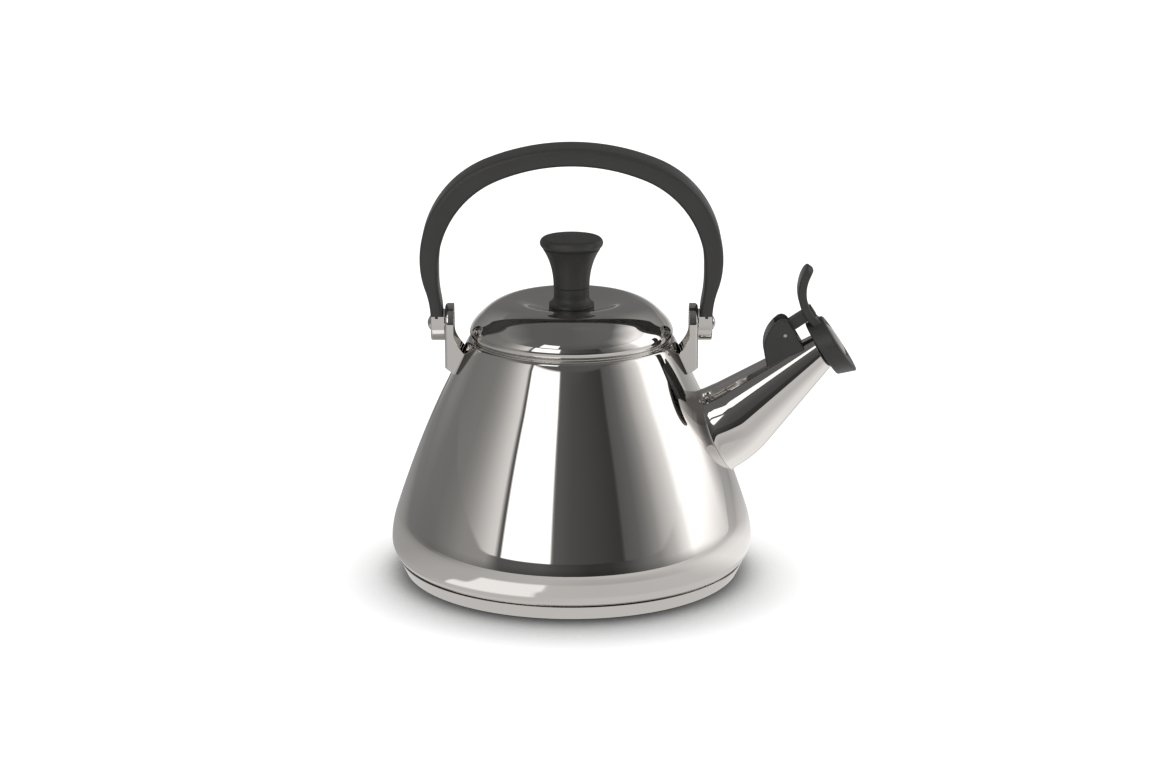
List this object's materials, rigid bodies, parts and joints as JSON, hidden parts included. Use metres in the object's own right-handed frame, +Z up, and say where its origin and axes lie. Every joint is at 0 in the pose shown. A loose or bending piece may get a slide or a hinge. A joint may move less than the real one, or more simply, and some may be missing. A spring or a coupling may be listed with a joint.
{
  "type": "stovetop whistling kettle",
  "caption": "Stovetop kettle with a conical polished sheet-steel body, swinging arched handle, lift-off domed lid and sprung flip-up whistle on the spout.",
  "frame": {"origin": "centre of the base, on the flat face that stands on the hob", "axes": "+Z up; +X towards the spout; -Y is the side seen from the front with the spout on the right; the handle arches over X"},
  "size_m": [0.2437, 0.19, 0.227],
  "materials": {
    "polished_steel": "mirror-polished stainless steel",
    "satin_steel": "satin stainless steel",
    "spring_steel": "plain spring steel",
    "heat_spreader": "raw aluminium",
    "black_phenolic": "satin black moulded phenolic"
  },
  "bodies": {
    "kettle_body": {"body_shell": "polished_steel", "body_rim": "polished_steel", "floor_pan": "satin_steel", "base_core": "heat_spreader", "base_capsule": "polished_steel", "spout_tube": "polished_steel", "bracket_left": "polished_steel", "bracket_right": "polished_steel", "whistle_housing": "black_phenolic", "mount_stud": "satin_steel", "mount_nut": "satin_steel", "whistle_pin": "satin_steel", "whistle_spring": "spring_steel"},
    "handle": {"handle_grip": "black_phenolic", "handle_core": "satin_steel", "ferrule_left": "polished_steel", "ferrule_right": "polished_steel", "foot_plate_left": "polished_steel", "foot_plate_right": "polished_steel", "pivot_rivet_left": "satin_steel", "pivot_rivet_right": "satin_steel", "spring_washer_outer_left": "spring_steel", "spring_washer_outer_right": "spring_steel", "spring_washer_inner_left": "spring_steel", "spring_washer_inner_right": "spring_steel"},
    "lid": {"lid_shell": "polished_steel", "lid_skirt": "satin_steel", "knob_collar": "black_phenolic", "knob_grip": "black_phenolic", "knob_cap": "black_phenolic", "knob_washer": "satin_steel", "knob_screw": "satin_steel"},
    "whistle": {"whistle_cap": "black_phenolic", "whistle_disc": "polished_steel", "whistle_plate": "satin_steel", "thumb_lever": "black_phenolic"}
  },
  "joints": [
    {"name": "handle_swing", "type": "hinge", "parent": "kettle_body", "child": "handle", "pos_m": [0, 0, 0.133], "axis": [1, 0, 0], "range_deg": [-110, 110]},
    {"name": "lid_lift", "type": "slide", "parent": "kettle_body", "child": "lid", "axis": [0, 0, 1], "range_m": [0, 0.035]},
    {"name": "whistle_flip", "type": "hinge", "parent": "kettle_body", "child": "whistle", "pos_m": [0.11113, 0, 0.12762], "axis": [0, -1, 0], "range_deg": [0, 50], "stiffness_Nm_per_rad": 0.04, "springref_deg": -34.38, "deforming": ["whistle_spring"]}
  ]
}
